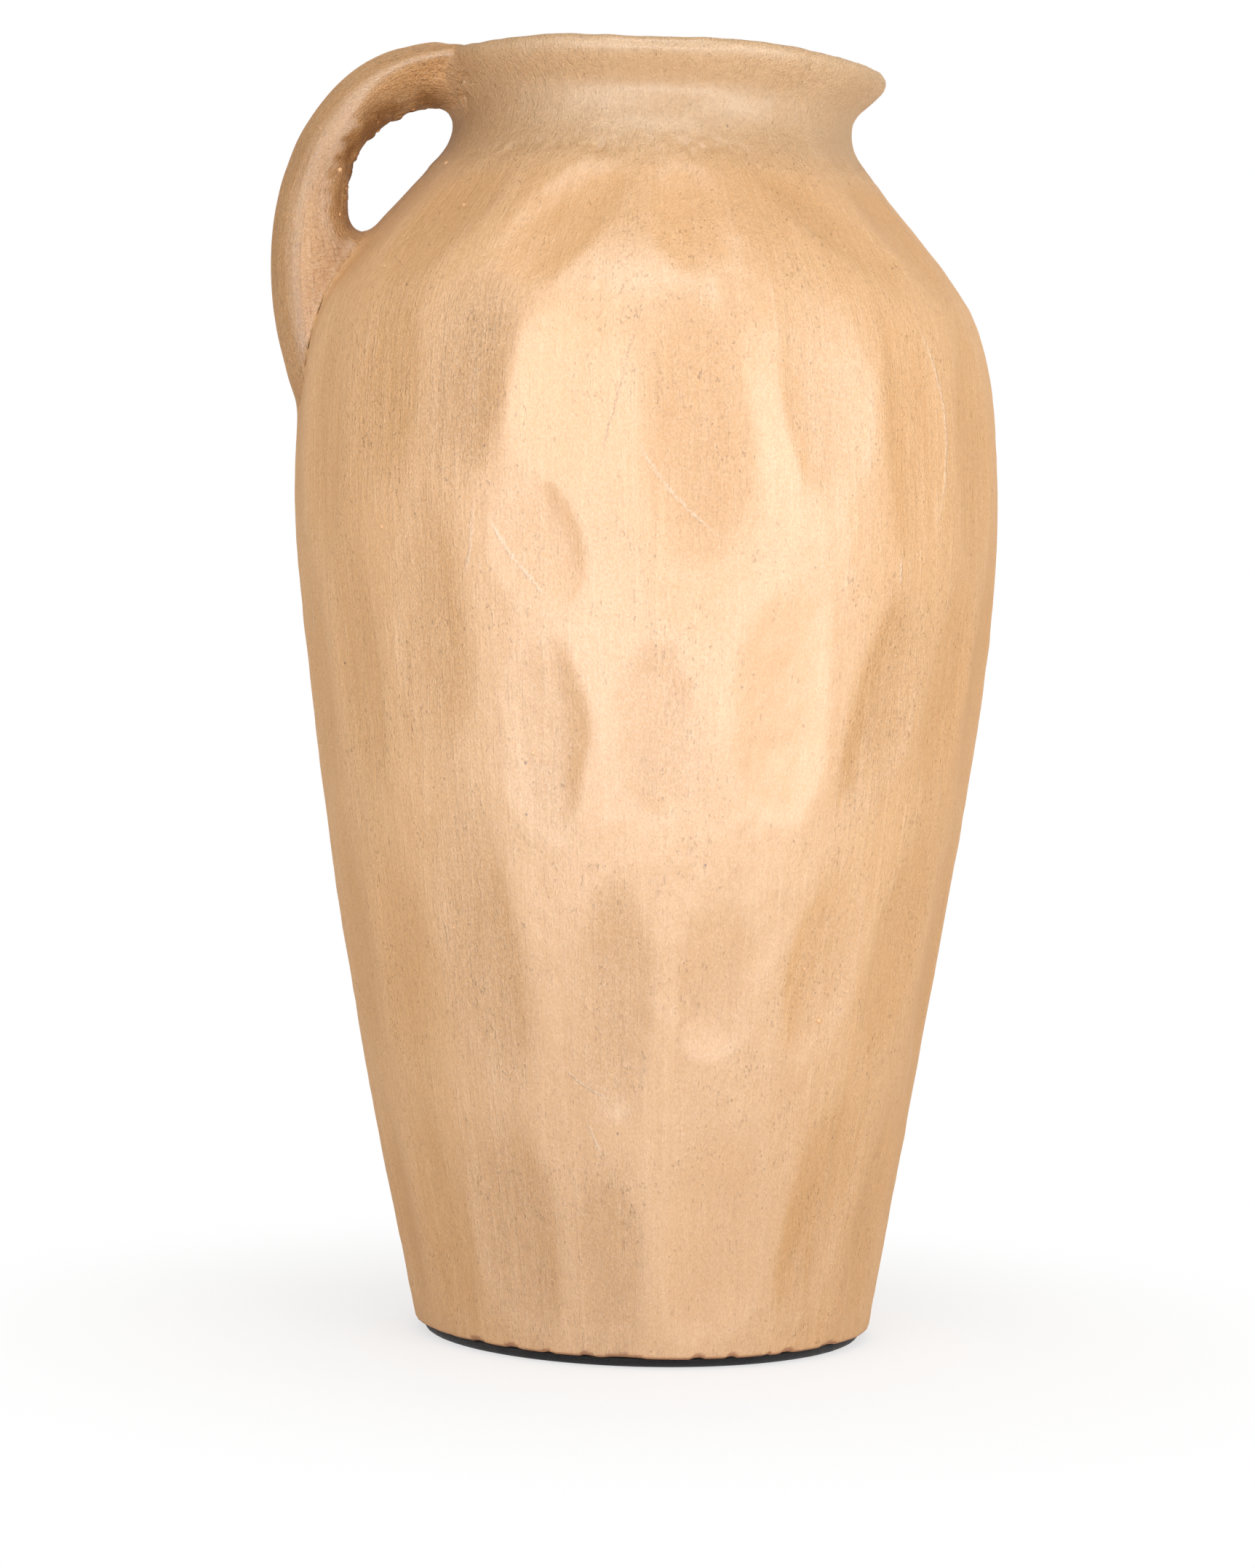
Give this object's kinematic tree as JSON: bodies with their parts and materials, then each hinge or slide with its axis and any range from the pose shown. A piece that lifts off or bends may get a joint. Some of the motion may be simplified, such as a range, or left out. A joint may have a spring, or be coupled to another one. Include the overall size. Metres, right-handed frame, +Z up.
{
  "type": "clay jug vase",
  "caption": "Tall hand-built clay jug vase with a faceted swelling body, short flared neck, open mouth and a loop handle from rim to shoulder.",
  "frame": {"origin": "centre of the pad's underside, on the surface the vase stands on", "axes": "+Z up along the vase's axis, -Y the front, the handle on the -X side"},
  "size_m": [0.2637, 0.2537, 0.4594],
  "materials": {
    "painted_clay": "satin tan paint over fired clay",
    "black_felt": "matt black felt"
  },
  "bodies": {
    "root": {"felt_pad": "black_felt", "base_slab": "painted_clay", "lower_wall": "painted_clay", "upper_wall": "painted_clay", "neck_and_rim": "painted_clay", "handle": "painted_clay"}
  },
  "joints": []
}
